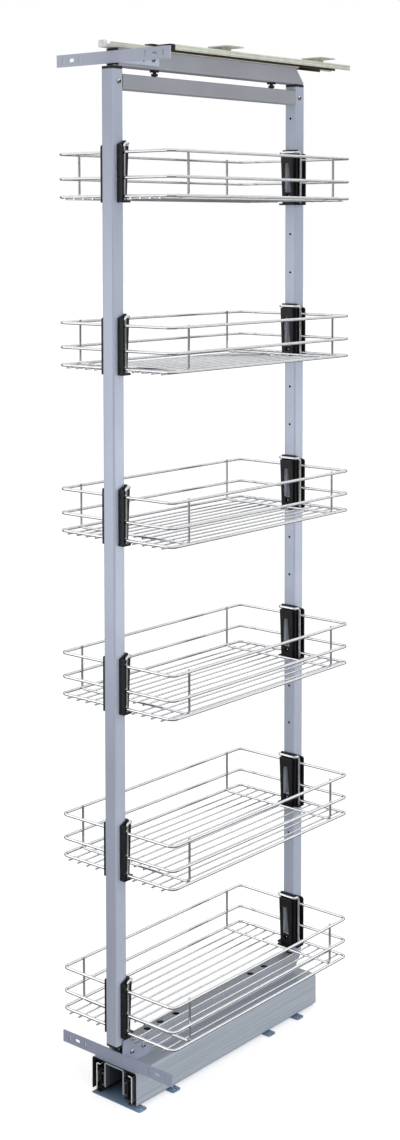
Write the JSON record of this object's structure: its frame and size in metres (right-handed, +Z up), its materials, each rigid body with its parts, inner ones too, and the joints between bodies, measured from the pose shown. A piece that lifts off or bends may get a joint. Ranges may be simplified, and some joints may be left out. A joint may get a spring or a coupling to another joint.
{
  "type": "pull out pantry frame",
  "caption": "Tall narrow pull-out pantry frame: wire baskets hooked on square uprights, carried by a telescopic floor runner and steadied by a telescopic top slide.",
  "frame": {"origin": "middle of the runner length, on the underside of the base plate, on the middle plane", "axes": "+Z up along the uprights, -Y towards the front where the door goes, +X to the right as seen from the front"},
  "size_m": [0.255, 0.655, 1.7698],
  "materials": {
    "base_zinc": "dull grey zinc plated sheet steel",
    "runner_zinc": "bright zinc plated rolled steel",
    "runner_black": "black coated rolled steel",
    "slide_zinc": "pale yellow zinc plated rolled steel",
    "slide_bronze": "dark bronze zinc plated rolled steel",
    "black_plastic": "black moulded plastic",
    "black_bolt": "black oxide steel",
    "cage_steel": "thin strip steel",
    "bright_steel": "polished steel",
    "cover_satin": "satin grey coated sheet",
    "grey_paint": "satin grey powder coat",
    "blue_grey_paint": "satin blue grey powder coat",
    "white_plastic": "off-white moulded plastic",
    "clip_black": "black moulded plastic",
    "basket_chrome": "bright chrome plated wire"
  },
  "bodies": {
    "base": {"base_plate": "base_zinc", "outer_rail_left": "runner_zinc", "outer_rail_right": "runner_zinc", "ceiling_rail": "slide_zinc", "ceiling_plates": "slide_zinc", "ceiling_rail_cap": "black_plastic"},
    "frame": {"runner_cover": "cover_satin", "inner_channel": "cover_satin", "bottom_rail": "grey_paint", "bottom_bracket": "grey_paint", "front_upright": "blue_grey_paint", "rear_upright": "blue_grey_paint", "top_crossbar": "grey_paint", "top_beam": "grey_paint", "top_bracket": "grey_paint", "clip_front_1": "clip_black", "clip_front_2": "clip_black", "clip_front_3": "clip_black", "clip_front_4": "clip_black", "clip_front_5": "clip_black", "clip_front_6": "clip_black", "clip_rear_1": "clip_black", "clip_rear_2": "clip_black", "clip_rear_3": "clip_black", "clip_rear_4": "clip_black", "clip_rear_5": "clip_black", "clip_rear_6": "clip_black", "inner_rail_left": "runner_zinc", "inner_rail_right": "runner_zinc", "upright_plugs": "black_plastic", "upright_bolts": "bright_steel", "bracket_screws": "bright_steel", "crossbar_screws": "bright_steel", "beam_bolts": "black_bolt", "beam_nuts": "bright_steel", "beam_rail": "slide_zinc", "beam_rail_bumper": "white_plastic", "clip_screws": "bright_steel"},
    "runner_outer_cage_set": {"runner_outer_cages": "cage_steel", "runner_outer_balls": "bright_steel"},
    "runner_middle_set": {"middle_rail_left": "runner_black", "middle_rail_right": "runner_black"},
    "runner_inner_cage_set": {"runner_inner_cages": "cage_steel", "runner_inner_balls": "bright_steel"},
    "top_outer_cage_set": {"top_outer_cage": "cage_steel", "top_outer_balls": "bright_steel"},
    "top_middle_set": {"top_middle_rail": "slide_bronze", "top_middle_stop": "black_plastic"},
    "top_inner_cage_set": {"top_inner_cage": "cage_steel", "top_inner_balls": "bright_steel"},
    "basket_1_body": {"basket_1": "basket_chrome"},
    "basket_2_body": {"basket_2": "basket_chrome"},
    "basket_3_body": {"basket_3": "basket_chrome"},
    "basket_4_body": {"basket_4": "basket_chrome"},
    "basket_5_body": {"basket_5": "basket_chrome"},
    "basket_6_body": {"basket_6": "basket_chrome"}
  },
  "joints": [
    {"name": "pull_out", "type": "slide", "parent": "base", "child": "frame", "axis": [0, -1, 0], "range_m": [0, 0.42]},
    {"name": "runner_outer_cage_roll", "type": "slide", "parent": "base", "child": "runner_outer_cage_set", "axis": [0, -1, 0], "range_m": [0, 0.105]},
    {"name": "runner_middle_slide", "type": "slide", "parent": "base", "child": "runner_middle_set", "axis": [0, -1, 0], "range_m": [0, 0.21]},
    {"name": "runner_inner_cage_roll", "type": "slide", "parent": "base", "child": "runner_inner_cage_set", "axis": [0, -1, 0], "range_m": [0, 0.315]},
    {"name": "top_outer_cage_roll", "type": "slide", "parent": "base", "child": "top_outer_cage_set", "axis": [0, -1, 0], "range_m": [0, 0.105]},
    {"name": "top_middle_slide", "type": "slide", "parent": "base", "child": "top_middle_set", "axis": [0, -1, 0], "range_m": [0, 0.21]},
    {"name": "top_inner_cage_roll", "type": "slide", "parent": "base", "child": "top_inner_cage_set", "axis": [0, -1, 0], "range_m": [0, 0.315]},
    {"name": "basket_1_lift", "type": "slide", "parent": "frame", "child": "basket_1_body", "axis": [0, 0, 1], "range_m": [0, 0.08]},
    {"name": "basket_2_lift", "type": "slide", "parent": "frame", "child": "basket_2_body", "axis": [0, 0, 1], "range_m": [0, 0.08]},
    {"name": "basket_3_lift", "type": "slide", "parent": "frame", "child": "basket_3_body", "axis": [0, 0, 1], "range_m": [0, 0.08]},
    {"name": "basket_4_lift", "type": "slide", "parent": "frame", "child": "basket_4_body", "axis": [0, 0, 1], "range_m": [0, 0.08]},
    {"name": "basket_5_lift", "type": "slide", "parent": "frame", "child": "basket_5_body", "axis": [0, 0, 1], "range_m": [0, 0.08]},
    {"name": "basket_6_lift", "type": "slide", "parent": "frame", "child": "basket_6_body", "axis": [0, 0, 1], "range_m": [0, 0.08]}
  ],
  "couplings": [
    {"joint": "runner_outer_cage_roll", "follows": "pull_out", "ratio": 0.25},
    {"joint": "runner_middle_slide", "follows": "pull_out", "ratio": 0.5},
    {"joint": "runner_inner_cage_roll", "follows": "pull_out", "ratio": 0.75},
    {"joint": "top_outer_cage_roll", "follows": "pull_out", "ratio": 0.25},
    {"joint": "top_middle_slide", "follows": "pull_out", "ratio": 0.5},
    {"joint": "top_inner_cage_roll", "follows": "pull_out", "ratio": 0.75}
  ]
}
